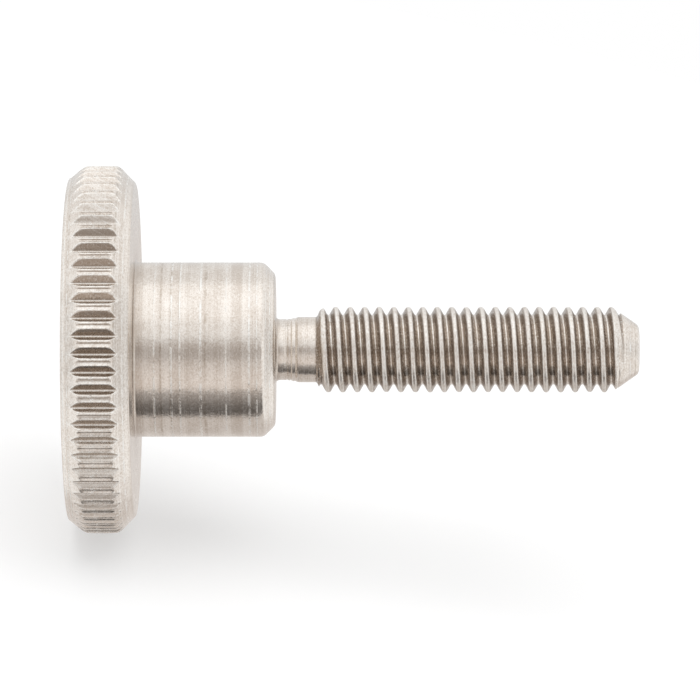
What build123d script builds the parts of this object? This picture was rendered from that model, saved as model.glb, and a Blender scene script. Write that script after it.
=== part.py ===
from build123d import *
import os
from math import pi, radians, tan

# High thumb screw with a knurled head, turned from one bar.
# It stands on the flat face of its head, with its axis on +Z and the centre of that face at the origin.

# Head disc, in millimetres
head_diameter = 25.3
head_thickness = 4.6
face_chamfer_length = 1.2
face_chamfer_depth = 0.95
back_chamfer = 1.2
head_edge_radius = 0.35

# Straight knurl round the head
knurl_pitch = 1.24
knurl_depth = 0.36
knurl_angle = 97.0
knurl_overrun = 0.3

# Collar between the head and the seat
collar_diameter = 12.0
collar_length = 9.6
collar_chamfer = 0.8
collar_edge_radius = 0.6
collar_foot_radius = 0.25

# Neck, undercut where the thread runs out
neck_diameter = 4.2
neck_foot_radius = 0.28
neck_waist_length = 0.9
neck_taper_length = 0.7
neck_length = 2.95
neck_end_diameter = 4.5
lead_in_angle = 58.0

# Shank at the thread's major diameter, and its pointed end
thread_diameter = 5.9
screw_length = 25.0
tip_diameter = 3.3
tip_angle = 35.0
tip_edge_radius = 0.4

# Heights above the flat face of the head, and radii
seat_height = head_thickness + collar_length
waist_top = seat_height + neck_waist_length
taper_top = waist_top + neck_taper_length
thread_start = seat_height + neck_length
tip_height = seat_height + screw_length
head_radius = head_diameter / 2
collar_radius = collar_diameter / 2
neck_radius = neck_diameter / 2
neck_end_radius = neck_end_diameter / 2
thread_radius = thread_diameter / 2
tip_radius = tip_diameter / 2
lead_in = (thread_radius - neck_end_radius) / tan(radians(lead_in_angle))
tip_length = (thread_radius - tip_radius) / tan(radians(tip_angle))

# Corners of the turned profile, as radius and height
face_edge = (head_radius - face_chamfer_depth, 0)
face_crest = (head_radius, face_chamfer_length)
back_crest = (head_radius, head_thickness - back_chamfer)
back_edge = (head_radius - back_chamfer, head_thickness)
collar_foot = (collar_radius, head_thickness)
collar_shoulder = (collar_radius, seat_height - collar_chamfer)
seat_edge = (collar_radius - collar_chamfer, seat_height)
neck_foot = (neck_radius, seat_height)
waist_end = (neck_radius, waist_top)
taper_end = (neck_end_radius, taper_top)
runout_end = (neck_end_radius, thread_start)
first_crest = (thread_radius, thread_start + lead_in)
last_crest = (thread_radius, tip_height - tip_length)
tip_edge = (tip_radius, tip_height)

rounded_corners = [
    ([face_edge, back_edge], head_edge_radius),
    ([collar_foot], collar_foot_radius),
    ([collar_shoulder, seat_edge], collar_edge_radius),
    ([neck_foot], neck_foot_radius),
    ([tip_edge], tip_edge_radius),
]

knurl_count = round(pi * head_diameter / knurl_pitch)
knurl_root_radius = head_radius - knurl_depth
cutter_reach = knurl_depth + knurl_overrun
cutter_half_width = cutter_reach * tan(radians(knurl_angle / 2))

with BuildPart() as thumb_screw:
    # Everything that the lathe leaves: head, collar, neck, shank and point
    with BuildSketch(Plane.XZ) as turned_profile:
        with BuildLine():
            Polyline(
                (0, 0),
                face_edge,
                face_crest,
                back_crest,
                back_edge,
                collar_foot,
                collar_shoulder,
                seat_edge,
                neck_foot,
                waist_end,
                taper_end,
                runout_end,
                first_crest,
                last_crest,
                tip_edge,
                (0, tip_height),
                close=True,
            )
        make_face()
        for corners, radius in rounded_corners:
            for corner in corners:
                nearest = turned_profile.vertices().sort_by_distance(corner)[0]
                fillet(nearest, radius)
    revolve(axis=Axis.Z)

    # Knurl: V grooves along the axis, which run out on both chamfers of the rim
    with BuildSketch() as knurl_section:
        with PolarLocations(knurl_root_radius, knurl_count):
            Polygon(
                (0, 0),
                (cutter_reach, -cutter_half_width),
                (cutter_reach, cutter_half_width),
                align=None,
            )
    extrude(amount=head_thickness, mode=Mode.SUBTRACT)

thumb_screw.part.label = "thumb_screw"
os.makedirs("parts", exist_ok=True)
export_step(thumb_screw.part, "parts/thumb_screw.step")
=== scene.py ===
# %% [markdown]
# # A knurled thumb screw, dressed over its solid model
#
# The real screw is one piece, turned from a stainless steel bar: a head disc with a straight
# knurl, a collar, a narrow neck and a threaded shank with a cone point. The solid model has the
# turned form and the knurl's grooves, on a plain shank. This script makes one closed mesh of the
# whole screw and adds what the solid leaves out: the thread, the ridges that the knurling wheel
# pushes up, and the small roundings that catch the light.
#
# The frame is the solid model's own: the screw stands on its head, +Z runs up its axis, and the
# origin is the centre of the head's flat face. Blender works in metres, and the sizes here are in
# millimetres, times MM.

# %% Load the frame
import math

import bmesh
import bpy
from mathutils import Matrix, Vector


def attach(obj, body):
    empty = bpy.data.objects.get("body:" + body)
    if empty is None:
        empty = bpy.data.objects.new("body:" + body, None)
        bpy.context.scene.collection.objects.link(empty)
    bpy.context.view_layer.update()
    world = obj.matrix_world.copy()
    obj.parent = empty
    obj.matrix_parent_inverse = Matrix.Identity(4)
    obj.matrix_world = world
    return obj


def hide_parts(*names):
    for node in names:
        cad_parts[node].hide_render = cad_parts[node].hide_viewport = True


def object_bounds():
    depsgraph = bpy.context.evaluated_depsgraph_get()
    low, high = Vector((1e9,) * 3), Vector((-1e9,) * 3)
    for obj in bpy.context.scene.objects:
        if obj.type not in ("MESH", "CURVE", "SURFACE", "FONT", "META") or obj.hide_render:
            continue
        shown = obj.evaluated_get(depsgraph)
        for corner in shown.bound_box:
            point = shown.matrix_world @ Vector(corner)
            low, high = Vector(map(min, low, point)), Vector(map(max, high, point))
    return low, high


MM = 0.001
NODE = "thumb_screw"

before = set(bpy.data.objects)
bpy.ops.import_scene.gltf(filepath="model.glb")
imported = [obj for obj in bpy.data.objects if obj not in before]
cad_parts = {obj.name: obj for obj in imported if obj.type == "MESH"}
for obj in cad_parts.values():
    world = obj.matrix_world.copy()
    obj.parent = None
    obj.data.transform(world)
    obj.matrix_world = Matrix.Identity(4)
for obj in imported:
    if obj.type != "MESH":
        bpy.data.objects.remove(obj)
cad_low, cad_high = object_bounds()
cad_size = [round(size / MM, 2) for size in cad_high - cad_low]
print("solid model", len(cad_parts), "node", cad_size, "mm")

# %% [markdown]
# ## Sizes
#
# These are the driving dimensions of the solid model, written once more because this script
# reads nothing but the frame. The total height comes from the frame itself.
#
# The knurl has sizes of its own. A knurling wheel pushes the metal up beside each groove, and
# between two grooves it lays one side over the other. Clockwise from a groove, seen from the
# point, comes the lip, which slopes down to the seam; on the other side is the fold, which is
# rounder and has a steeper wall. The thread is a metric one with a pitch of 1 mm.

# %% Sizes of the turned form
HEAD_RADIUS = 12.65
HEAD_THICKNESS = 4.6
FACE_CHAMFER_LENGTH = 1.2
FACE_CHAMFER_DEPTH = 0.95
BACK_CHAMFER = 1.2
HEAD_EDGE_ROUNDING = 0.35

COLLAR_RADIUS = 6.0
COLLAR_CHAMFER = 0.8
COLLAR_EDGE_ROUNDING = 0.6
COLLAR_FOOT_ROUNDING = 0.25
SEAT_HEIGHT = 14.2

NECK_RADIUS = 2.1
NECK_FOOT_ROUNDING = 0.28
NECK_WAIST_LENGTH = 0.9
NECK_TAPER_LENGTH = 0.7
NECK_END_RADIUS = 2.25

TIP_HEIGHT = cad_high.z / MM
TIP_RADIUS = 1.65
TIP_ANGLE = math.radians(35)
TIP_EDGE_ROUNDING = 0.4

face_edge_radius = HEAD_RADIUS - FACE_CHAMFER_DEPTH
face_slope = FACE_CHAMFER_DEPTH / FACE_CHAMFER_LENGTH
back_edge_radius = HEAD_RADIUS - BACK_CHAMFER
back_slope = 1.0
print("head", 2 * HEAD_RADIUS, "mm across, screw", round(TIP_HEIGHT, 2), "mm high")

# %% Sizes of the knurl
# Places round the rim are clockwise from the middle of a groove
TEETH = 64
KNURL_DEPTH = 0.39
ROOT_HALF_WIDTH = 0.05
RIM_ROUNDING = 0.3

LIP_SIDE_ANGLE = math.radians(48.5)
LIP_HEIGHT = 0.035
LIP_REACH = 0.12
LIP_ROUNDING = 0.025

FOLD_SIDE_ANGLE = math.radians(33.5)
FOLD_REACH = 0.43
FOLD_DROP = 0.02
FOLD_ROUNDING = 0.15

SEAM_PLACE = -0.475
SEAM_DROP = 0.11

tooth_pitch = 2 * math.pi * HEAD_RADIUS / TEETH
root_of_knurl = HEAD_RADIUS - KNURL_DEPTH
lip_edge = ROOT_HALF_WIDTH + KNURL_DEPTH * math.tan(LIP_SIDE_ANGLE)
fold_edge = ROOT_HALF_WIDTH + KNURL_DEPTH * math.tan(FOLD_SIDE_ANGLE)
lip_width = SEAM_PLACE + tooth_pitch - lip_edge
fold_slope = (SEAM_DROP - FOLD_DROP) / (-SEAM_PLACE - FOLD_REACH)
seam_angle = -SEAM_PLACE / HEAD_RADIUS
print("knurl pitch", round(tooth_pitch, 3), "mm, groove", round(lip_edge + fold_edge, 2), "mm wide")

# %% Sizes of the thread
PITCH = 1.0
CREST_RADIUS = 2.95
ROOT_RADIUS = 2.4
CREST_HALF_WIDTH = 0.12
# The height of one crest where it crosses +X
CREST_HEIGHT = 17.84
FLANK_SLOPE = math.tan(math.radians(60))

THREAD_START = 17.04
SHOULDER_SLOPE = 2.2
SHOULDER_RISE = 0.4
EASY_SLOPE = 0.5
END_MARK_HEIGHT = 37.74
END_MARK_DEPTH = 0.06
print("thread depth", round(CREST_RADIUS - ROOT_RADIUS, 2), "mm")

# %% [markdown]
# ## Arithmetic on nodes
#
# Both the geometry trees and the materials are full of sums. A small class wraps an output
# socket and overloads Python's operators, so that an expression on it adds the Math nodes. One
# method adds any other node: it sets the node's settings first, and then the values or links of
# its inputs.

# %% A wire that does arithmetic
class Wire:
    """An output socket that takes part in arithmetic."""

    def __init__(self, board, socket):
        self.board = board
        self.socket = socket

    def out(self, name):
        return Wire(self.board, self.socket.node.outputs[name])

    def maths(self, operation, *others):
        return self.board.add("ShaderNodeMath", {"operation": operation}, [self, *others])

    def ramped(self, low, high):
        """0 below low, 1 above high, and a smooth rise between them."""
        ends = {"Value": self, "From Min": low, "From Max": high}
        return self.board.add("ShaderNodeMapRange", {"interpolation_type": "SMOOTHSTEP"}, ends)

    def __add__(self, other):
        return self.maths("ADD", other)

    def __radd__(self, other):
        return self.maths("ADD", other)

    def __sub__(self, other):
        return self.maths("SUBTRACT", other)

    def __rsub__(self, other):
        return self.board.add("ShaderNodeMath", {"operation": "SUBTRACT"}, [other, self])

    def __mul__(self, other):
        return self.maths("MULTIPLY", other)

    def __rmul__(self, other):
        return self.maths("MULTIPLY", other)

    def __truediv__(self, other):
        return self.maths("DIVIDE", other)


# %% A board that adds and links nodes
class Board:
    """A node tree with one method that adds and links a node."""

    def __init__(self, tree):
        self.tree = tree

    def add(self, kind, settings=None, inputs=(), output=0):
        node = self.tree.nodes.new(kind)
        for name, value in (settings or {}).items():
            if name == "stops":
                self.set_stops(node.color_ramp, value)
            else:
                setattr(node, name, value)
        pairs = inputs.items() if isinstance(inputs, dict) else enumerate(inputs)
        for key, value in pairs:
            if isinstance(value, Wire):
                self.tree.links.new(value.socket, node.inputs[key])
            elif value is not None:
                node.inputs[key].default_value = value
        return Wire(self, node.outputs[output]) if node.outputs else node

    def set_stops(self, ramp, stops):
        while len(ramp.elements) < len(stops):
            ramp.elements.new(1.0)
        for element, (place, colour) in zip(ramp.elements, stops):
            element.position = place
            element.color = colour


# %% Steps that the trees share
def mixed(board, share, first, second):
    """Only the first colour at a share of 0, and only the second at 1."""
    inputs = {0: share, 6: first, 7: second}
    return board.add("ShaderNodeMix", {"data_type": "RGBA"}, inputs, 2)


def from_axis(parts):
    """The distance from the screw's axis, from the parts of a position."""
    return (parts.out("X") * parts.out("X") + parts.out("Y") * parts.out("Y")).maths("SQRT")


def material_board(name):
    """A new material with an empty tree."""
    material = bpy.data.materials.new(name)
    material.use_nodes = True
    material.node_tree.nodes.clear()
    return material, Board(material.node_tree)


# %% A geometry tree with named inputs
SOCKETS = {float: "NodeSocketFloat", int: "NodeSocketInt"}


def geometry_board(name, sizes, takes_mesh):
    """A new geometry tree, its input wires by name, and each input's identifier."""
    tree = bpy.data.node_groups.new(name, "GeometryNodeTree")
    sockets = tree.interface
    if takes_mesh:
        sockets.new_socket("Geometry", in_out="INPUT", socket_type="NodeSocketGeometry")
    names = {}
    for size, value in sizes.items():
        socket = sockets.new_socket(size, in_out="INPUT", socket_type=SOCKETS[type(value)])
        names[size] = socket.identifier
    sockets.new_socket("Geometry", in_out="OUTPUT", socket_type="NodeSocketGeometry")
    board = Board(tree)
    first = board.add("NodeGroupInput")
    wires = {size: first.out(size) for size in sizes}
    if takes_mesh:
        wires["Geometry"] = first.out("Geometry")
    return board, wires, names


def grown_mesh(board, names, sizes, start_mesh):
    """Run the tree on a mesh with these sizes, and give the result as a plain mesh."""
    carrier = bpy.data.objects.new(board.tree.name, start_mesh)
    bpy.context.scene.collection.objects.link(carrier)
    modifier = carrier.modifiers.new(board.tree.name, "NODES")
    modifier.node_group = board.tree
    for size, value in sizes.items():
        modifier[names[size]] = value
    shapes = bpy.context.evaluated_depsgraph_get()
    result = bpy.data.meshes.new_from_object(carrier.evaluated_get(shapes), depsgraph=shapes)
    carrier.modifiers.remove(modifier)
    bpy.data.objects.remove(carrier)
    print(board.tree.name, len(result.vertices), "points")
    return result


# %% [markdown]
# ## Stainless steel, as the lathe left it
#
# The lathe leaves fine rings round the axis. An image of rings would stretch on the chamfers, so
# the rings are noise in one dimension: on a cylinder they follow the height and on a flat face
# the radius, and one sum of the two serves both. The radius counts three times, because on the
# cone of the point it falls while the height rises, and an even sum would hardly change there.
# Some rings are stains, and here and there one stands out as a broken bright line.
#
# A grain in all directions mottles the rings. Its noise is finer along the axis than round it,
# so the specks are drawn out the way the tool ran. Grain and rings change the colour from warm
# to pale, and they roughen the reflection and bend it a little.

# %% The patterns of a turned surface
PER_METRE = 1000.0
RADIUS_COUNTS = 3
GRAIN_STRETCH = 1.4
RING_ROUGHNESS = 0.6
GRAIN_ROUGHNESS = 0.65

# Repeats in a millimetre, levels of detail, and where along the noise each begins
RINGS = {
    "fine rings": (9.0, 3.0, 0.0),
    "broad rings": (1.3, 2.0, 40.0),
    "scores": (3.4, 1.0, 80.0),
    "stains": (2.6, 1.0, 120.0),
}
# Repeats in a millimetre, and levels of detail
GRAINS = {
    "grain": (6.0, 4.0),
    "dents": (3.0, 2.0),
    "specks": (9.0, 2.0),
    "patches": (0.45, 3.0),
    "breaks": (1.6, 2.0),
}
print(len(RINGS), "patterns of rings and", len(GRAINS), "of grain")


def lathe_patterns(board):
    """The patterns by name, with the mesh's own two shares and the side of the screw."""
    place = board.add("ShaderNodeTexCoord", None, (), "Object")
    parts = board.add("ShaderNodeSeparateXYZ", None, [place])
    radius = from_axis(parts)
    along = (parts.out("Z") + radius * RADIUS_COUNTS) * PER_METRE
    stretch = [place, (1, 1, GRAIN_STRETCH)]
    drawn_out = board.add("ShaderNodeVectorMath", {"operation": "MULTIPLY"}, stretch)
    patterns = {"side": parts.out("X") * -1 / radius}
    for name, (per_mm, detail, start) in RINGS.items():
        inputs = {"W": along + start, "Scale": per_mm}
        inputs.update({"Detail": detail, "Roughness": RING_ROUGHNESS})
        patterns[name] = board.add("ShaderNodeTexNoise", {"noise_dimensions": "1D"}, inputs)
    for name, (per_mm, detail) in GRAINS.items():
        inputs = {"Vector": drawn_out, "Scale": per_mm * PER_METRE}
        inputs.update({"Detail": detail, "Roughness": GRAIN_ROUGHNESS})
        patterns[name] = board.add("ShaderNodeTexNoise", None, inputs)
    for name in ("hollow", "rubbed"):
        patterns[name] = board.add("ShaderNodeAttribute", {"attribute_name": name}, (), "Fac")
    patterns["broken"] = patterns["breaks"].ramped(0.35, 0.65)
    patterns["scored"] = patterns["scores"].ramped(0.63, 0.7) * patterns["broken"]
    return patterns


# %% [markdown]
# ## Bare metal, rubbed and painted-bright crests, and the film and painted shade in the hollows
#
# Hands rub the crests bright, and the finish makes them whiter still, as a painted highlight. The
# grooves hold a brown film of oil and dust, and the same brown paints shade in them. Which places
# these are is known when the mesh is made, so each point carries two shares, and the finish reads
# them as attributes: one is 1 where the film and painted shade are thick, and the other is 1 where
# the metal is rubbed and painted bright. The grain makes both patchy.
#
# One recipe makes three finishes. The turned steel is the cleanest, the knurl holds dust and
# painted shade, and the thread holds darker oil and painted shade and has duller crests. The
# knurl's film and painted shade are thinner on the sides of the head that are at the picture's
# top and bottom, so the hollows there look lighter.

# %% The colour of the steel
WARM_STEEL = (0.66, 0.59, 0.525, 1.0)
PALE_STEEL = (0.86, 0.81, 0.755, 1.0)
# Near-white steel for scored lines and specks, and for rubbed crests, where it also paints a
# highlight
BRIGHT_STEEL = (0.93, 0.92, 0.89, 1.0)
STAIN = (0.42, 0.35, 0.28, 1.0)
# Brown of the dust in the knurl, which also paints shade in its grooves and darkens the inner
# corners
DUST_AND_SHADE = (0.36, 0.285, 0.225, 1.0)
# Brown of the oil on the thread, which also paints shade on the flanks and a shadow where the
# thread begins
OIL_AND_SHADE = (0.265, 0.205, 0.16, 1.0)


def bare_steel(board, patterns, speckle):
    """The metal's own colour, with its rings, stains, pits and scored lines, and rubbed crests made
    whiter as a painted highlight.
    """
    grain = patterns["grain"]
    paleness = (patterns["fine rings"] - 0.5) * 0.7 + (patterns["broad rings"] - 0.5) * 1.3
    paleness = paleness + (grain - 0.5) * 2.0
    paleness = paleness + (patterns["patches"] - 0.5) * 1.2 + 0.5
    clean = mixed(board, paleness.ramped(0.0, 1.0), WARM_STEEL, PALE_STEEL)
    stain = patterns["stains"].ramped(0.67, 0.73) * (1 - patterns["broken"]) * 0.6
    stained = mixed(board, stain, clean, STAIN)
    pits = (1 - patterns["specks"].ramped(0.32, 0.46)) * speckle
    pitted = mixed(board, pits, stained, STAIN)
    lined = mixed(board, patterns["scored"] * 0.9, pitted, BRIGHT_STEEL)
    # Rubbed crests, also made whiter as a painted highlight
    brightness = patterns["rubbed"] * (0.15 + grain.ramped(0.38, 0.62) * 0.75)
    return mixed(board, brightness, lined, BRIGHT_STEEL)


def film_and_shade_on(patterns, amount, less_shade_top_and_bottom):
    """How much of the film's colour shows, with the shade that it paints in the hollows."""
    patchy = 0.85 + (patterns["grain"] - 0.5) * 1.2
    film_and_shade = patterns["hollow"].ramped(0.05, 0.6) * patchy * amount
    # The sides at the picture's top and bottom get less film and less painted shade
    if less_shade_top_and_bottom:
        side = patterns["side"]
        film_and_shade = film_and_shade * (1 - side.ramped(0.6, 0.78) * 0.9) * (0.5 + side.ramped(-0.7, -0.2) * 0.5)
    return film_and_shade


# %% The finish itself
LEAST_ROUGHNESS = 0.18


def steel_finish(
    name, ring_depth, dent_depth, worn_roughness, speckle, film_and_shade_colour, film_and_shade_amount, less_shade_top_and_bottom
):
    """A turned finish: depths are in millimetres, and the other numbers are shares."""
    material, board = material_board(name)
    patterns = lathe_patterns(board)
    scored = patterns["scored"]
    fine_rings = patterns["fine rings"]
    specks = patterns["specks"]
    # The film in the hollows, which also paints shade there
    film_and_shade = film_and_shade_on(patterns, film_and_shade_amount, less_shade_top_and_bottom)
    filmed = mixed(board, film_and_shade, bare_steel(board, patterns, speckle), film_and_shade_colour)
    colour = mixed(board, specks.ramped(0.55, 0.7) * speckle, filmed, BRIGHT_STEEL)

    rough = (patterns["grain"] - 0.5) * 0.4 + (fine_rings - 0.5) * 0.2 + scored * 0.15
    rough = rough + patterns["rubbed"] * worn_roughness + LEAST_ROUGHNESS

    open_metal = 1 - patterns["hollow"].ramped(0.0, 0.4)
    relief = (fine_rings + scored * 3) * open_metal * ring_depth
    relief = relief + (patterns["dents"] + specks * 0.25) * dent_depth
    heights = {"Strength": 1.0, "Distance": MM, "Height": relief}
    bump = board.add("ShaderNodeBump", None, heights)

    looks = {"Base Color": colour, "Metallic": 1.0, "Roughness": rough, "Normal": bump}
    steel = board.add("ShaderNodeBsdfPrincipled", None, looks)
    board.add("ShaderNodeOutputMaterial", None, {"Surface": steel})
    print(name, len(board.tree.nodes), "nodes")
    return material


# %% The three finishes
# Places in the list of finishes, where a new face has the first one, the turned steel
KNURLED, THREADED = 1, 2
finishes = [
    steel_finish(
        "turned_steel",
        ring_depth=0.005,
        dent_depth=0.012,
        worn_roughness=0.0,
        speckle=0.35,
        film_and_shade_colour=DUST_AND_SHADE,
        film_and_shade_amount=0.8,
        less_shade_top_and_bottom=False,
    ),
    steel_finish(
        "knurled_steel",
        ring_depth=0.004,
        dent_depth=0.008,
        worn_roughness=0.1,
        speckle=0.4,
        film_and_shade_colour=DUST_AND_SHADE,
        film_and_shade_amount=1.0,
        # Less film and painted shade at the picture's top and bottom
        less_shade_top_and_bottom=True,
    ),
    steel_finish(
        "threaded_steel",
        ring_depth=0.002,
        dent_depth=0.012,
        worn_roughness=0.28,
        speckle=0.8,
        film_and_shade_colour=OIL_AND_SHADE,
        film_and_shade_amount=0.95,
        less_shade_top_and_bottom=False,
    ),
]

# %% [markdown]
# ## One tooth of the knurl
#
# A knurling wheel presses its teeth into the turned rim and pushes the metal up beside each
# groove. Where the metal of two grooves meets, the wheel lays one side over the other. That
# leaves a fine seam near one groove and a sloping lip that rises to the next. Boolean cuts could
# make the grooves, but not this pressed metal, so the tooth is a grid with a radius for every
# point. It is one pitch wide, from seam to seam across a groove, and its columns sit on the
# root, the walls, the lip and the fold.
#
# The surface is the lower one of two: the turned rim and the pressed groove. A smooth minimum
# joins them with a small rounding, and the rim swells a little beside the groove. Each column
# puts its rows close together where its groove runs out on a chamfer, so the six-sided outline
# stays sharp.

# %% The cross-section of a groove
def smooth_min(first, second, blend):
    """The lower of two values, rounded where they are closer than the blend."""
    overlap = max(blend - abs(first - second), 0.0) / blend
    return min(first, second) - overlap * overlap * blend / 4


def smooth_step(value, low, high):
    """0 below low, 1 above high, and a smooth rise between them."""
    share = min(max((value - low) / (high - low), 0.0), 1.0)
    return share * share * (3 - 2 * share)


def wall_radius(across):
    """Radius of the groove's root and walls, as if the walls went on past the rim."""
    angle = LIP_SIDE_ANGLE if across > 0 else FOLD_SIDE_ANGLE
    return root_of_knurl + max(abs(across) - ROOT_HALF_WIDTH, 0.0) / math.tan(angle)


def pressed_radius(across):
    """Radius of groove and crest at a distance clockwise from the middle of the groove."""
    if across > 0:
        short_of_seam = min(1 - (across - lip_edge) / lip_width, 1.2)
        crest = HEAD_RADIUS + LIP_ROUNDING / 4 - SEAM_DROP * (1 - short_of_seam**2)
        return smooth_min(wall_radius(across), crest, LIP_ROUNDING)
    crest = HEAD_RADIUS - FOLD_DROP - max(-across - FOLD_REACH, 0.0) * fold_slope
    return smooth_min(wall_radius(across), crest, FOLD_ROUNDING)


print("root", round(pressed_radius(0.0), 2), "mm from the axis, lip", round(pressed_radius(0.5), 2))

# %% The outline of the rim
EDGE_STEPS = 4


def turned_radius(height):
    """Radius of the turned rim, with both chamfers and rounded crests."""
    face_side = face_edge_radius + height * face_slope
    back_side = back_edge_radius + (HEAD_THICKNESS - height) * back_slope
    return smooth_min(smooth_min(face_side, HEAD_RADIUS, RIM_ROUNDING), back_side, RIM_ROUNDING)


def rim_radius(across, height):
    """Radius of the rim beside a groove, where the pressed metal has swollen it."""
    turned = turned_radius(height)
    outside = max(wall_radius(across) - turned, 0.0)
    on_chamfer = smooth_step(HEAD_RADIUS - turned, 0.0, LIP_HEIGHT * 2)
    return turned + LIP_HEIGHT * math.exp(-outside / LIP_REACH) * on_chamfer


def edge_arc(radius, height, turn, side):
    """Radii and heights of a rounded edge that starts on a flat face and turns by this angle."""
    centre_radius = radius - HEAD_EDGE_ROUNDING * math.tan(turn / 2)
    points = []
    for step in range(EDGE_STEPS + 1):
        angle = turn * step / EDGE_STEPS
        along = centre_radius + HEAD_EDGE_ROUNDING * math.sin(angle)
        up = HEAD_EDGE_ROUNDING * (1 - math.cos(angle))
        points.append((along, height + side * up))
    return points


face_arc = edge_arc(face_edge_radius, 0.0, math.pi / 2 - math.atan(1 / face_slope), 1)
back_arc = edge_arc(back_edge_radius, HEAD_THICKNESS, math.pi / 4, -1)
print("rim between heights", round(face_arc[-1][1], 2), "and", round(back_arc[-1][1], 2), "mm")

# %% [markdown]
# ## The tooth's grid and its two shares
#
# Every column of the grid has the same number of rows, from the head's face, round the rim, to
# its back. The last column stands on the same seam as the first, one pitch on, and so it takes
# the same radii. Neighbouring teeth then meet point for point, and the ring closes.
#
# The film, with painted shade, is thickest on the lip's wall of the groove, which faces down at
# the front of the picture, thinner on the fold's wall and at the root, and half as thick along
# the seam. The metal right beside a groove stands proud, and fingers rub it bright; it is also
# made whiter there as a painted highlight.

# %% Columns and rows
COLUMNS_ACROSS = [
    SEAM_PLACE, -0.455, -0.43, -0.40, -0.35, -0.31, -0.27, -0.23, -0.14, -0.08, -0.03,
    0.03, 0.08, 0.22, 0.42, 0.475, 0.495, 0.515, 0.56, 0.61, 0.68,
]
NEAR_EDGE = [-0.3, -0.16, -0.08, -0.03, 0.0, 0.03, 0.08, 0.16, 0.3]
LAND_ROWS = 3
BESIDE_ARC = 0.03
PAST_ARC = 0.12
FLAT_MARGIN = 0.25

face_ring_radius = face_arc[0][0] - FLAT_MARGIN
back_ring_radius = back_arc[0][0] - FLAT_MARGIN
print("teeth reach in to", round(face_ring_radius, 2), "and", round(back_ring_radius, 2), "mm")


def tooth_column(across):
    """Radii and heights of one column, from the flat face round the rim to the back face."""
    pressed = pressed_radius(across)
    face_exit = (pressed - face_edge_radius) / face_slope
    back_exit = HEAD_THICKNESS - (pressed - back_edge_radius) / back_slope
    heights = [face_arc[-1][1] + PAST_ARC]
    heights += [face_exit + step for step in NEAR_EDGE]
    low = heights[-1]
    high = back_exit + NEAR_EDGE[0]
    heights += [low + (high - low) * (row + 1) / (LAND_ROWS + 1) for row in range(LAND_ROWS)]
    heights += [back_exit + step for step in NEAR_EDGE]
    heights.append(back_arc[-1][1] - PAST_ARC)
    rim = [(smooth_min(rim_radius(across, z), pressed, LIP_ROUNDING), z) for z in heights]
    face_side = [(face_ring_radius, 0.0), (face_arc[0][0] - BESIDE_ARC, 0.0)] + face_arc
    back_side = back_arc[::-1] + [(back_arc[0][0] - BESIDE_ARC, HEAD_THICKNESS)]
    back_side.append((back_ring_radius, HEAD_THICKNESS))
    return face_side + rim + back_side


# %% The film, painted shade, rub and painted highlight on a tooth
# The film and painted shade are less on the fold's wall and at the root
FOLD_WALL_FILM_AND_SHADE = 0.42
ROOT_FILM_AND_SHADE_CUT = 0.7
SEAM_FILM = 0.5
SEAM_REACH = 0.05


def on_rim(height):
    return face_arc[-1][1] < height < back_arc[-1][1]


def film_and_shade_share(across, radius, height):
    """How much dark film and painted shade the surface holds: 1 on the lip's wall, and 0 on the
    rim.
    """
    if not on_rim(height):
        return 0.0
    depth = min(turned_radius(height), HEAD_RADIUS) - radius
    at_root = 1 - smooth_step(abs(across), ROOT_HALF_WIDTH, ROOT_HALF_WIDTH * 2.5)
    from_seam = min(abs(across - SEAM_PLACE), tooth_pitch + SEAM_PLACE - across)
    at_seam = SEAM_FILM * (1 - smooth_step(from_seam, 0.0, SEAM_REACH))
    on_wall = smooth_step(depth, 0.02, 0.09) * (-fold_edge < across < lip_edge)
    on_wall *= FOLD_WALL_FILM_AND_SHADE if across < 0 else 1.0
    in_groove = on_wall * (1 - ROOT_FILM_AND_SHADE_CUT * at_root)
    return max(in_groove, at_seam * smooth_step(depth, 0.03, 0.08))


def rubbed_and_sheen_share(across, radius, height):
    """How bright the surface is rubbed and painted as a highlight: 1 right beside a groove, and
    less away from it.
    """
    if not on_rim(height):
        return 0.0
    outside = max(wall_radius(across) - min(turned_radius(height), HEAD_RADIUS), 0.0)
    return math.exp(-outside / LIP_REACH) * (1 - film_and_shade_share(across, radius, height))


# %% The tooth as a mesh
def tooth_mesh():
    mesh = bpy.data.meshes.new("tooth")
    columns = [(place, place) for place in COLUMNS_ACROSS]
    columns.append((SEAM_PLACE + tooth_pitch, SEAM_PLACE))
    points = []
    shares = {"hollow": [], "rubbed": []}
    for place, across in columns:
        angle = -place / HEAD_RADIUS
        for radius, height in tooth_column(across):
            spot = Vector((radius * math.cos(angle), radius * math.sin(angle), height))
            points.append(spot * MM)
            shares["hollow"].append(film_and_shade_share(across, radius, height))
            shares["rubbed"].append(rubbed_and_sheen_share(across, radius, height))
    rows = len(points) // len(columns)
    faces = []
    for column in range(len(columns) - 1):
        for row in range(rows - 1):
            corner = column * rows + row
            faces.append((corner, corner + rows, corner + rows + 1, corner + 1))
    mesh.from_pydata(points, [], faces)
    for name, values in shares.items():
        mesh.attributes.new(name, "FLOAT", "POINT").data.foreach_set("value", values)
    print("tooth", len(columns), "columns of", rows, "rows")
    return mesh


# %% [markdown]
# ## Wear, and the end of each geometry tree
#
# The knurl and the thread are both grown by a geometry tree, and both trees end alike. Instances
# are made real, because an export drops them, and points that meet are merged. Then a little
# noise presses the crests in, so that no two are quite alike: it moves points only inwards, and
# only near the crest. The finish comes last.

# %% The shared end of a tree
# Points of one part that are closer than this are merged
WELD = 0.002 * MM


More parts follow.
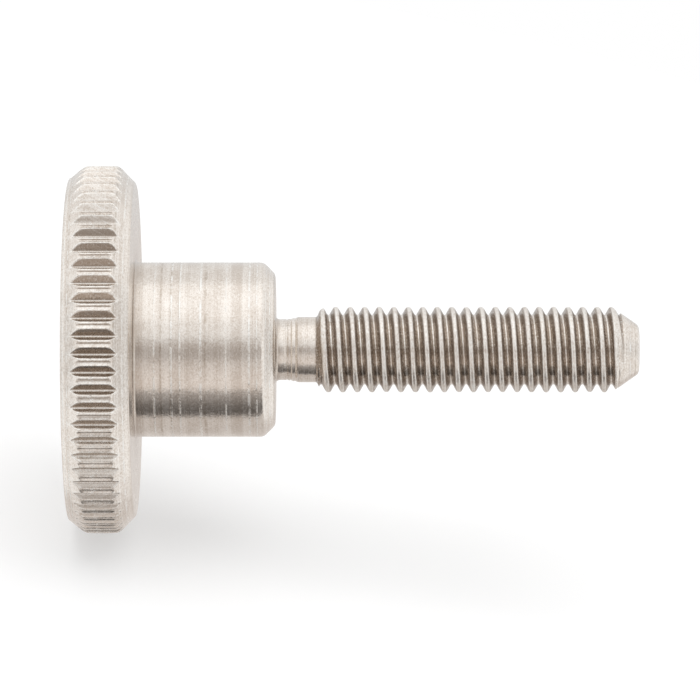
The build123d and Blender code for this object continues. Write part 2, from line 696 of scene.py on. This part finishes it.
def worn_inwards(board, geometry, crest_radius, wear, reach, scale):
    """Press the points near the crest towards the axis, by a noise of this scale per metre."""
    place = board.add("GeometryNodeInputPosition")
    parts = board.add("ShaderNodeSeparateXYZ", None, [place])
    radius = from_axis(parts)
    noise = board.add("ShaderNodeTexNoise", None, {"Vector": place, "Scale": scale, "Detail": 2.0})
    near_crest = radius.ramped(crest_radius - reach, crest_radius)
    amount = noise.ramped(0.4, 0.75) * near_crest * wear
    sides = {"X": parts.out("X") / radius, "Y": parts.out("Y") / radius}
    outwards = board.add("ShaderNodeCombineXYZ", None, sides)
    shift = {0: outwards, "Scale": amount * -1}
    push = board.add("ShaderNodeVectorMath", {"operation": "SCALE"}, shift)
    return board.add("GeometryNodeSetPosition", None, {"Geometry": geometry, "Offset": push})


def end_tree(board, geometry, size, reach, scale, finish):
    """Make the mesh real, weld its seams, wear its crests and give it its finish."""
    solid = board.add("GeometryNodeRealizeInstances", None, [geometry])
    joints = {"Geometry": solid, "Distance": WELD}
    closed = board.add("GeometryNodeMergeByDistance", None, joints)
    worn = worn_inwards(board, closed, size["Crest Radius"], size["Wear"], reach, scale)
    dressed = {"Geometry": worn, "Material": finish}
    finished = board.add("GeometryNodeSetMaterial", None, dressed)
    board.add("NodeGroupOutput", None, {"Geometry": finished})


# %% [markdown]
# ## Sixty-four teeth round the head
#
# The tooth repeats, so a geometry tree places it: one point for each tooth, all at the origin,
# and an instance of the tooth on each, turned by its share of the circle.

# %% The ring of teeth
def ring_of_teeth():
    sizes = {"Teeth": TEETH, "Crest Radius": HEAD_RADIUS * MM, "Wear": 0.03 * MM}
    board, size, names = geometry_board("knurl", sizes, takes_mesh=True)
    points = board.add("GeometryNodePoints", None, {"Count": size["Teeth"]})
    place = board.add("GeometryNodeInputIndex")
    share = place * (2 * math.pi) / size["Teeth"]
    turn = board.add("ShaderNodeCombineXYZ", None, {"Z": share})
    tooth = board.add("GeometryNodeGeometryToInstance", None, [size["Geometry"]])
    placing = {"Points": points, "Instance": tooth, "Rotation": turn}
    teeth = board.add("GeometryNodeInstanceOnPoints", None, placing)
    end_tree(board, teeth, size, reach=0.2 * MM, scale=900.0, finish=finishes[KNURLED])
    return grown_mesh(board, names, sizes, tooth_mesh())


teeth_mesh = ring_of_teeth()

# %% [markdown]
# ## The thread
#
# A right-hand thread is a rule: the crest climbs one pitch for each turn. A swept ridge would
# leave its inside open, so the whole threaded shank is one grid instead, rolled round the axis.
# Its rows follow the helix, and its last column meets its first one a turn further up. The
# radius of each point is worked out from its distance to the nearest crest: flanks at 60
# degrees to the axis, with smooth maximum and minimum for the rounded root and crest.
#
# The same way of joining cuts the start of the thread to the neck's shoulder, and its end to the
# cone of the point, which has a fine line where the tool stopped. Rows beyond either end are
# held at the end's height and merge into one ring. The film of oil, with painted shade, lies on
# the flanks, and a painted shadow lies on the neck's end where the thread begins. The crests are
# rubbed and made whiter as a painted highlight.

# %% The thread's sizes, as inputs of its tree
THREAD_BOTTOM = 16.9
THREAD_TOP = 38.25
THREAD_COLUMNS = 96
ROWS_PER_TURN = 18
thread_turns = math.ceil((THREAD_TOP - THREAD_BOTTOM) / PITCH) + 1

thread_sizes = {
    "Columns": THREAD_COLUMNS,
    "Rows": thread_turns * ROWS_PER_TURN,
    "Turns": float(thread_turns),
    "Pitch": PITCH * MM,
    "Crest Radius": CREST_RADIUS * MM,
    "Root Radius": ROOT_RADIUS * MM,
    "Crest Half Width": CREST_HALF_WIDTH * MM,
    "Root Rounding": 0.1 * MM,
    "Crest Rounding": 0.2 * MM,
    "Crest Height": CREST_HEIGHT * MM,
    "Bottom": THREAD_BOTTOM * MM,
    "Top": THREAD_TOP * MM,
    "Neck Radius": NECK_END_RADIUS * MM,
    "Shoulder Start": THREAD_START * MM,
    "Shoulder Slope": SHOULDER_SLOPE,
    "Shoulder Rise": SHOULDER_RISE * MM,
    "Easy Slope": EASY_SLOPE,
    "Mark Height": END_MARK_HEIGHT * MM,
    "Mark Depth": END_MARK_DEPTH * MM,
    "Tip Radius": TIP_RADIUS * MM,
    "Tip Height": TIP_HEIGHT * MM,
    "Tip Slope": math.tan(TIP_ANGLE),
    "Wear": 0.04 * MM,
}
print("thread", thread_turns, "turns of rows")

# %% The thread's surface
# The rounding where either end cuts the thread, as a share of the root's
END_EDGE = 0.6
# How far above the shoulder's start the painted shadow where the thread begins is centred
START_SHADOW_RISE = 0.09 * MM


def thread_surface(size, height, around):
    """The radius at a height and a share of a turn, and the share of film and painted shade there.
    """
    from_crest = (height - size["Crest Height"]) / size["Pitch"] - around
    offset = (from_crest - from_crest.maths("ROUND")).maths("ABSOLUTE") * size["Pitch"]
    flank = size["Crest Radius"] - (offset - size["Crest Half Width"]) * FLANK_SLOPE
    valley = flank.maths("SMOOTH_MAX", size["Root Radius"], size["Root Rounding"])
    cut = valley.maths("SMOOTH_MIN", size["Crest Radius"], size["Crest Rounding"])

    beyond = (height - size["Shoulder Start"]).maths("MAXIMUM", 0.0)
    steep = size["Neck Radius"] + beyond * size["Shoulder Slope"]
    easy = size["Neck Radius"] + size["Shoulder Rise"] + beyond * size["Easy Slope"]
    shoulder = steep.maths("SMOOTH_MIN", easy, size["Crest Rounding"])

    from_mark = (height - size["Mark Height"]).maths("ABSOLUTE")
    mark = (size["Mark Depth"] - from_mark).maths("MAXIMUM", 0.0)
    cone = size["Tip Radius"] + (size["Tip Height"] - height) * size["Tip Slope"] - mark

    edge = size["Root Rounding"] * END_EDGE
    radius = cut.maths("SMOOTH_MIN", shoulder, edge).maths("SMOOTH_MIN", cone, edge)
    outline = shoulder.maths("MINIMUM", cone).maths("MINIMUM", size["Crest Radius"])
    depth = (outline - radius) / (size["Crest Radius"] - size["Root Radius"])
    # Film and painted shade on the flanks, and a painted shadow where the thread begins
    on_flank = depth * (1 - depth) * 4
    from_start = (height - size["Shoulder Start"] - START_SHADOW_RISE).maths("ABSOLUTE")
    film_and_shade = on_flank.maths("MAXIMUM", 1 - from_start.ramped(0.1 * MM, 0.2 * MM))
    return radius, film_and_shade


# %% The threaded shank
CREST_RUB_AND_SHEEN = 0.7


def helix_grid(board, size):
    """A flat grid, with each point's share of a turn and its height on the helix."""
    counts = {"Vertices X": size["Columns"] + 1, "Vertices Y": size["Rows"] + 1}
    grid = board.add("GeometryNodeMeshGrid", None, {"Size X": 1.0, "Size Y": 1.0, **counts})
    place = board.add("ShaderNodeSeparateXYZ", None, [board.add("GeometryNodeInputPosition")])
    around = place.out("X") + 0.5
    turns_up = (place.out("Y") + 0.5) * size["Turns"] + around - 1
    climbed = size["Bottom"] + turns_up * size["Pitch"]
    height = climbed.maths("MAXIMUM", size["Bottom"]).maths("MINIMUM", size["Top"])
    return grid, around, height


def threaded_shank():
    board, size, names = geometry_board("thread", thread_sizes, takes_mesh=False)
    marked, around, height = helix_grid(board, size)
    radius, film_and_shade = thread_surface(size, height, around)
    crest = size["Crest Radius"]
    # The crests are rubbed, and made whiter as a painted highlight
    rubbed = radius.ramped(crest - 0.25 * MM, crest - 0.06 * MM) * CREST_RUB_AND_SHEEN
    for name, share in (("hollow", film_and_shade), ("rubbed", rubbed)):
        settings = {"data_type": "FLOAT", "domain": "POINT"}
        inputs = {"Geometry": marked, "Name": name, "Value": share}
        marked = board.add("GeometryNodeStoreNamedAttribute", settings, inputs)
    angle = around * (2 * math.pi)
    spot = [radius * angle.maths("COSINE"), radius * angle.maths("SINE"), height]
    point = board.add("ShaderNodeCombineXYZ", None, spot)
    rolled = board.add("GeometryNodeSetPosition", None, {"Geometry": marked, "Position": point})
    end_tree(board, rolled, size, reach=0.25 * MM, scale=1300.0, finish=finishes[THREADED])
    return grown_mesh(board, names, thread_sizes, bpy.data.meshes.new("thread"))


thread_mesh = threaded_shank()

# %% [markdown]
# ## The rest of the turned form
#
# Everything else is round, and a Screw modifier could spin it from its outline. Here it is a
# stack of rings instead, one for each corner of the outline and a few more where a corner is
# rounded, because rings of known points are easy to join to the knurl and the thread. Those of
# the head and the collar have 192 points, and those of the neck and the point have 96. On flat
# faces, where no shading can show it, a fan of triangles joins a fine ring to a coarse one.
#
# A corner is a radius, a height and the radius of its rounding. The two inner corners are
# darkened, and the tool leaves a fine groove on the neck each time it stops.

# %% Rings
BODY_COLUMNS = 192
# The radius, height and reach of each inner corner
INNER_CORNERS = [(COLLAR_RADIUS, HEAD_THICKNESS, 1.0), (NECK_RADIUS, SEAT_HEIGHT, 0.5)]
# How much darker the inner corners are made
CORNER_DARKENING = 0.4
CORNER_CORE = 0.1


def corner_darkening(radius, height):
    """How much darker an inner corner is made."""
    share = 0.0
    for corner_radius, corner_height, reach in INNER_CORNERS:
        away = math.hypot(radius - corner_radius, height - corner_height)
        share = max(share, CORNER_DARKENING * (1 - smooth_step(away, CORNER_CORE, reach)))
    return share


def ring(mesh, radius, height, columns, start_angle=0.0):
    hollow = mesh.verts.layers.float["hollow"]
    points = []
    for step in range(columns):
        angle = start_angle + 2 * math.pi * step / columns
        place = Vector((radius * math.cos(angle), radius * math.sin(angle), height)) * MM
        point = mesh.verts.new(place)
        point[hollow] = corner_darkening(radius, height)
        points.append(point)
    return points


# %% What joins the rings
def band(mesh, lower, upper):
    """Faces between two rings with the same number of points."""
    count = len(lower)
    for step in range(count):
        after = (step + 1) % count
        mesh.faces.new((lower[step], lower[after], upper[after], upper[step]))


def fan(mesh, fine, coarse):
    """Join two rings that start at the same angle, with several fine points to a coarse one."""
    share = len(fine) // len(coarse)
    middle = (share + 1) // 2
    for step, corner in enumerate(coarse):
        after = coarse[(step + 1) % len(coarse)]
        run = [fine[(step * share + place) % len(fine)] for place in range(share + 1)]
        for place in range(share):
            mesh.faces.new((corner if place < middle else after, run[place], run[place + 1]))
        mesh.faces.new((corner, run[middle], after))


def pole(mesh, last, height):
    """Close a flat face in its middle."""
    centre = mesh.verts.new(Vector((0, 0, height)) * MM)
    for step, corner in enumerate(last):
        mesh.faces.new((corner, last[(step + 1) % len(last)], centre))


# %% An outline with rounded corners
ARC_STEPS = 5
TOOL_MARK_HALF_WIDTH = 0.06
TOOL_MARK_DEPTH = 0.05


def rounded(corners):
    """Radii and heights of an outline, with an arc in place of each corner with a rounding."""
    outline = []
    for place, (radius, height, rounding) in enumerate(corners):
        here = Vector((radius, height))
        if not rounding:
            outline.append(here)
            continue
        back = (Vector(corners[place - 1][:2]) - here).normalized()
        ahead = (Vector(corners[place + 1][:2]) - here).normalized()
        half_turn = back.angle(ahead) / 2
        centre = here + (back + ahead).normalized() * rounding / math.sin(half_turn)
        first = here + back * rounding / math.tan(half_turn) - centre
        last = here + ahead * rounding / math.tan(half_turn) - centre
        for step in range(ARC_STEPS + 1):
            spoke = first.slerp(last, step / ARC_STEPS).normalized() * rounding
            outline.append(centre + spoke)
    return outline


def stack(mesh, corners, columns, start_angle=0.0):
    rings = [ring(mesh, *place, columns, start_angle) for place in rounded(corners)]
    for lower, upper in zip(rings, rings[1:]):
        band(mesh, lower, upper)
    return rings


def tool_mark(radius, height):
    """A fine groove that the tool leaves where it stops."""
    return [
        (radius, height - TOOL_MARK_HALF_WIDTH, 0),
        (radius - TOOL_MARK_DEPTH, height, 0),
        (radius, height + TOOL_MARK_HALF_WIDTH, 0),
    ]


# %% The middle of the head's face
RING_STEP = 0.5
FACE_RING_RADII = (9.0, 6.0, 3.0, 1.0)


def head_face(mesh, teeth_edge):
    radii = (face_ring_radius - RING_STEP, *FACE_RING_RADII)
    rings = stack(mesh, [(radius, 0.0, 0) for radius in radii], BODY_COLUMNS, seam_angle)
    fan(mesh, teeth_edge, rings[0])
    pole(mesh, rings[-1], 0.0)
    print("head face", len(rings), "rings")


# %% The head's back and the collar
BACK_RING_RADIUS = 9.0
SEAT_RING_RADIUS = 3.4
BESIDE_FOOT = 0.35
BESIDE_CHAMFER = 0.3
ABOVE_FOOT = (0.4, 1.1)


def collar(mesh, teeth_edge):
    """The head's back, the collar and its seat; gives the innermost ring."""
    shoulder_height = SEAT_HEIGHT - COLLAR_CHAMFER
    seat_radius = COLLAR_RADIUS - COLLAR_CHAMFER
    half = COLLAR_CHAMFER / 2
    corners = [
        (back_ring_radius - RING_STEP, HEAD_THICKNESS, 0),
        (BACK_RING_RADIUS, HEAD_THICKNESS, 0),
        (COLLAR_RADIUS + BESIDE_FOOT, HEAD_THICKNESS, 0),
        (COLLAR_RADIUS, HEAD_THICKNESS, COLLAR_FOOT_ROUNDING),
        *[(COLLAR_RADIUS, HEAD_THICKNESS + rise, 0) for rise in ABOVE_FOOT],
        (COLLAR_RADIUS, (HEAD_THICKNESS + SEAT_HEIGHT) / 2, 0),
        (COLLAR_RADIUS, shoulder_height - BESIDE_CHAMFER, 0),
        (COLLAR_RADIUS, shoulder_height, COLLAR_EDGE_ROUNDING),
        (COLLAR_RADIUS - half, SEAT_HEIGHT - half, 0),
        (seat_radius, SEAT_HEIGHT, COLLAR_EDGE_ROUNDING),
        (seat_radius - BESIDE_CHAMFER, SEAT_HEIGHT, 0),
        (SEAT_RING_RADIUS, SEAT_HEIGHT, 0),
    ]
    rings = stack(mesh, corners, BODY_COLUMNS, seam_angle)
    fan(mesh, teeth_edge, rings[0])
    print("collar", len(rings), "rings")
    return rings[-1]


# %% The neck
NECK_RING_RADIUS = 2.9
WAIST_MARK_HEIGHT = 0.79
# How much the taper has widened at each mark, and the mark's height above the seat
TAPER_MARKS = [(0.03, 1.04), (0.09, 1.34)]


def neck(mesh, seat_edge):
    taper_start = SEAT_HEIGHT + NECK_WAIST_LENGTH
    corners = [
        (NECK_RING_RADIUS, SEAT_HEIGHT, 0),
        (NECK_RADIUS + BESIDE_FOOT, SEAT_HEIGHT, 0),
        (NECK_RADIUS, SEAT_HEIGHT, NECK_FOOT_ROUNDING),
        *tool_mark(NECK_RADIUS, SEAT_HEIGHT + WAIST_MARK_HEIGHT),
        (NECK_RADIUS, taper_start, 0),
    ]
    for widened, height in TAPER_MARKS:
        corners += tool_mark(NECK_RADIUS + widened, SEAT_HEIGHT + height)
    corners.append((NECK_END_RADIUS, taper_start + NECK_TAPER_LENGTH, 0))
    corners.append((NECK_END_RADIUS, THREAD_BOTTOM, 0))
    rings = stack(mesh, corners, THREAD_COLUMNS)
    fan(mesh, seat_edge, rings[0])
    print("neck", len(rings), "rings")


# %% The cone point
BELOW_TIP = 0.4
BESIDE_TIP = 0.3
TIP_RING_RADIUS = 0.6


def cone_point(mesh):
    slope = math.tan(TIP_ANGLE)
    corners = [
        (TIP_RADIUS + (TIP_HEIGHT - THREAD_TOP) * slope, THREAD_TOP, 0),
        (TIP_RADIUS + BELOW_TIP * slope, TIP_HEIGHT - BELOW_TIP, 0),
        (TIP_RADIUS, TIP_HEIGHT, TIP_EDGE_ROUNDING),
        (TIP_RADIUS - BESIDE_TIP, TIP_HEIGHT, 0),
        (TIP_RING_RADIUS, TIP_HEIGHT, 0),
    ]
    rings = stack(mesh, corners, THREAD_COLUMNS)
    pole(mesh, rings[-1], TIP_HEIGHT)
    print("cone point", len(rings), "rings")


# %% [markdown]
# ## One closed mesh
#
# The real screw is one piece of metal, and so is the mesh. The knurl and the thread come in
# with their two shares. The rings of the head start on the seam of a tooth, so that the fans
# beside the teeth don't twist. What meets is merged, and then no edge is open, which the step
# counts and prints.

# %% Bring in a grown part and find its edge
SAME_PLACE = 0.01
SEAM_MARGIN = 1e-5


def add_part(mesh, part, finish):
    old = len(mesh.verts)
    old_faces = len(mesh.faces)
    mesh.from_mesh(part)
    mesh.verts.ensure_lookup_table()
    mesh.faces.ensure_lookup_table()
    for name in ("hollow", "rubbed"):
        layer = mesh.verts.layers.float[name]
        for place, value in enumerate(part.attributes[name].data):
            mesh.verts[old + place][layer] = value.value
    for face in mesh.faces[old_faces:]:
        face.material_index = finish


def open_ring(mesh, height, radius):
    """The points of an open edge loop at this height and radius, in order round the axis."""
    found = [
        point
        for point in mesh.verts
        if point.is_boundary
        and abs(point.co.z / MM - height) < SAME_PLACE
        and abs(point.co.xy.length / MM - radius) < SAME_PLACE
    ]

    def round_from_seam(point):
        angle = math.atan2(point.co.y, point.co.x) - seam_angle + SEAM_MARGIN
        return angle % (2 * math.pi)

    return sorted(found, key=round_from_seam)


# %% The whole screw
# Points of neighbouring parts that are closer than this are merged
JOIN = 0.0015 * MM


def whole_screw():
    mesh = bmesh.new()
    mesh.verts.layers.float.new("hollow")
    mesh.verts.layers.float.new("rubbed")
    add_part(mesh, teeth_mesh, KNURLED)
    face_teeth = open_ring(mesh, 0.0, face_ring_radius)
    back_teeth = open_ring(mesh, HEAD_THICKNESS, back_ring_radius)
    print("teeth meet the faces at", len(face_teeth), "and", len(back_teeth), "points")
    head_face(mesh, face_teeth)
    neck(mesh, collar(mesh, back_teeth))
    add_part(mesh, thread_mesh, THREADED)
    cone_point(mesh)

    bmesh.ops.remove_doubles(mesh, verts=mesh.verts, dist=JOIN)
    bmesh.ops.recalc_face_normals(mesh, faces=mesh.faces)
    open_edges = sum(1 for edge in mesh.edges if not edge.is_manifold)
    triangles = sum(len(face.verts) - 2 for face in mesh.faces)
    print("whole screw", triangles, "triangles,", open_edges, "open edges")
    for face in mesh.faces:
        face.smooth = True
    result = bpy.data.meshes.new("thumb_screw_steel")
    mesh.to_mesh(result)
    mesh.free()
    return result


screw = bpy.data.objects.new("turned_screw", whole_screw())
bpy.context.scene.collection.objects.link(screw)
for finish in finishes:
    screw.data.materials.append(finish)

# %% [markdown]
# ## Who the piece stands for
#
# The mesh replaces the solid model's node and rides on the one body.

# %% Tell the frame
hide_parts(NODE)
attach(screw, "root")
print(screw.name, "stands for", NODE)

# %% [markdown]
# ## Floor, paper and shadow
#
# The screw stands on its head, on a white floor, and a sheet of white paper touches the head's
# rim and leans back a little. Both would shine back in the steel, so only the camera sees them,
# and only from in front: from behind, or nearly edge-on, they are clear. In the picture's own
# view the floor is edge-on, and the soft shadow falls on the sheet.
#
# The paper glows a little by itself, so that it is white without more light on the steel. One
# wide, soft lamp throws the shadow. Its reflection is switched off, and steel shows no other
# light, so the screw looks the same with it or without it.

# %% White paper
PAPER_GREY = (0.38, 0.38, 0.38, 1.0)
EDGE_ON_FROM, EDGE_ON_TO = 0.86, 0.93


def white_paper(name, glow):
    """White paper with the screw's soft shadow, which only the camera sees, from in front."""
    material, board = material_board(name)
    matt = board.add("ShaderNodeBsdfDiffuse", None, {"Color": PAPER_GREY})
    white = board.add("ShaderNodeEmission", None, {"Strength": glow})
    paper = board.add("ShaderNodeAddShader", None, [matt, white])
    clear = board.add("ShaderNodeBsdfTransparent")
    camera_ray = board.add("ShaderNodeLightPath", None, (), "Is Camera Ray")
    behind = board.add("ShaderNodeNewGeometry", None, (), "Backfacing")
    edge_on = board.add("ShaderNodeLayerWeight", None, {"Blend": 0.5}, "Facing")
    seen = camera_ray * (1 - behind) * (1 - edge_on.ramped(EDGE_ON_FROM, EDGE_ON_TO))
    both = board.add("ShaderNodeMixShader", None, [seen, clear, paper])
    board.add("ShaderNodeOutputMaterial", None, {"Surface": both})
    return material


# %% The floor and the backdrop
PAPER_RADIUS = 130.0
PAPER_SIDES = 96
PAPER_TURN = math.radians(20)
PAPER_LEAN = math.radians(9)
FLOOR_GLOW = 0.65
BACKDROP_GLOW = 0.48


def sheet(name, glow, middle, facing):
    """A staged disc of white paper, with its front towards a direction."""
    mesh = bpy.data.meshes.new(name)
    shape = bmesh.new()
    size = {"segments": PAPER_SIDES, "radius": PAPER_RADIUS * MM}
    bmesh.ops.create_circle(shape, cap_ends=True, **size)
    shape.to_mesh(mesh)
    shape.free()
    disc = bpy.data.objects.new(name, mesh)
    turned = facing.to_track_quat("Z", "Y").to_matrix().to_4x4()
    disc.matrix_world = Matrix.Translation(middle) @ turned
    bpy.context.scene.collection.objects.link(disc)
    mesh.materials.append(white_paper(name, glow))
    print(name, "faces", [round(part, 2) for part in facing])


upwards = Vector((0, 0, 1))
sideways = Vector((math.cos(PAPER_TURN), math.sin(PAPER_TURN), 0))
touching = sideways * (HEAD_RADIUS + LIP_HEIGHT) + upwards * FACE_CHAMFER_LENGTH
facing_screw = upwards * math.sin(PAPER_LEAN) - sideways * math.cos(PAPER_LEAN)
sheet("floor", FLOOR_GLOW, Vector((0, 0, 0)), upwards)
sheet("backdrop", BACKDROP_GLOW, touching * MM, facing_screw)

# %% The lamp that throws the shadow
LAMP_STRENGTH = 1.7
LAMP_WIDTH = math.radians(60)
LAMP_SIDE = Vector((-0.85, -0.4, 0.12))


def shadow_lamp():
    data = bpy.data.lights.new("shadow_lamp", "SUN")
    data.energy = LAMP_STRENGTH
    data.angle = LAMP_WIDTH
    lamp = bpy.data.objects.new("shadow_lamp", data)
    bpy.context.scene.collection.objects.link(lamp)
    lamp.rotation_euler = LAMP_SIDE.to_track_quat("Z", "Y").to_euler()
    lamp.visible_glossy = False
    print("shadow lamp, strength", LAMP_STRENGTH)


shadow_lamp()

# %% [markdown]
# ## The white room
#
# A turned bar shows the room round it as bands along its length, so the light on the steel is a
# plain white room whose brightness changes with the angle round the axis. It is brightest above,
# greyer on the camera's side, and dark in a strip below, which makes the dark line along the
# lower side of the collar and the thread. The lower half of the room is a little warmer. The
# ends of the room are plain, with a greyer middle that the chamfers and flat faces reflect. The
# camera itself sees plain white.

# %% The room's bands
ROOM_STRENGTH = 1.34
# Degrees round the axis from the camera, upwards in the picture, and the brightness there
ROOM_BANDS = [
    (-180, 0.56), (-155, 0.55), (-134, 0.49), (-119, 0.49), (-99, 0.51), (-96, 0.12),
    (-87, 0.10), (-79, 0.14), (-70, 0.22), (-63, 0.28), (-55, 0.36), (-52, 0.67),
    (-41, 0.64), (-27, 0.59), (-13, 0.50), (-10, 0.40), (2, 0.38), (8, 0.48),
    (15, 0.58), (18, 0.73), (38, 0.77), (42, 0.87), (69, 0.91), (96, 0.88),
    (99, 0.75), (117, 0.70), (151, 0.66), (180, 0.56),
]
WARM_BELOW = 12
WARM_TINT = Vector((1.02, 0.965, 0.93))
NO_TINT = Vector((1, 1, 1))
END_BRIGHTNESS = 0.76
END_CENTRE = 0.62
# The cosine of the angle from the axis where the ends begin, and where their middle does
END_FROM, END_TO = 0.4, 0.65
CENTRE_FROM, CENTRE_TO = 0.9, 0.97
print(len(ROOM_BANDS), "stops round the axis")

# %% The room itself
def band_stops():
    """The bands as stops of a ramp: a place from 0 to 1, and a colour."""
    stops = []
    for angle, grey in ROOM_BANDS:
        tint = WARM_TINT if angle < WARM_BELOW else NO_TINT
        stops.append(((angle + 180) / 360, (*(tint * grey), 1.0)))
    return stops


def white_room():
    world = bpy.data.worlds.new("white_room")
    bpy.context.scene.world = world
    world.use_nodes = True
    world.node_tree.nodes.clear()
    board = Board(world.node_tree)
    away = board.add("ShaderNodeTexCoord", None, (), "Generated")
    parts = board.add("ShaderNodeSeparateXYZ", None, [away])
    around = (parts.out("X") * -1).maths("ARCTAN2", parts.out("Y") * -1)
    share = around / (2 * math.pi) + 0.5
    bands = board.add("ShaderNodeValToRGB", {"stops": band_stops()}, [share])
    lengthwise = parts.out("Z").maths("ABSOLUTE")
    end_grey = lengthwise.ramped(CENTRE_FROM, CENTRE_TO) * (END_CENTRE - END_BRIGHTNESS)
    ends = end_grey + END_BRIGHTNESS
    room = mixed(board, lengthwise.ramped(END_FROM, END_TO), bands, ends)
    lit = board.add("ShaderNodeBackground", None, {"Color": room, "Strength": ROOM_STRENGTH})
    plain = board.add("ShaderNodeBackground", None, {"Color": (1, 1, 1, 1), "Strength": 1.0})
    seen = board.add("ShaderNodeLightPath", None, (), "Is Camera Ray")
    both = board.add("ShaderNodeMixShader", None, [seen, lit, plain])
    board.add("ShaderNodeOutputWorld", None, {"Surface": both})
    print("white room, strength", ROOM_STRENGTH)


white_room()

# %% [markdown]
# ## The camera
#
# The picture shows the screw lying across it, so the camera looks squarely at the screw's side
# and is rolled a quarter turn: the axis runs to the right and the head is on the left. Its
# distance was fitted to how the knurl and the outline narrow away from the middle. The lens
# follows from that distance and from how many pixels a millimetre takes.

# %% Place the camera
CAMERA_DISTANCE = 345.0
PIXELS_PER_MM = 14.52
PICTURE_WIDTH = 700
HEAD_FACE_PIXEL = 69.4
AXIS_PIXEL = 349.6
SENSOR_WIDTH = 36.0
# In radians round the screw's axis, which sets where the knurl's grooves come in the picture
CAMERA_TURN = 0.026


def camera():
    data = bpy.data.cameras.new("camera")
    data.sensor_width = SENSOR_WIDTH
    data.lens = SENSOR_WIDTH * PIXELS_PER_MM * CAMERA_DISTANCE / PICTURE_WIDTH
    data.clip_start = 0.01
    viewer = bpy.data.objects.new("camera", data)
    bpy.context.scene.collection.objects.link(viewer)
    height = (PICTURE_WIDTH / 2 - HEAD_FACE_PIXEL) / PIXELS_PER_MM
    below = (PICTURE_WIDTH / 2 - AXIS_PIXEL) / PIXELS_PER_MM
    rolled = Matrix(((0, -1, 0), (0, 0, -1), (1, 0, 0))).to_4x4()
    rolled.translation = Vector((below, -CAMERA_DISTANCE, height)) * MM
    viewer.matrix_world = Matrix.Rotation(-CAMERA_TURN, 4, "Z") @ rolled
    bpy.context.scene.camera = viewer
    print("camera", CAMERA_DISTANCE, "mm away, lens", round(data.lens, 1), "mm")


camera()
bpy.context.scene.view_settings.view_transform = "Standard"
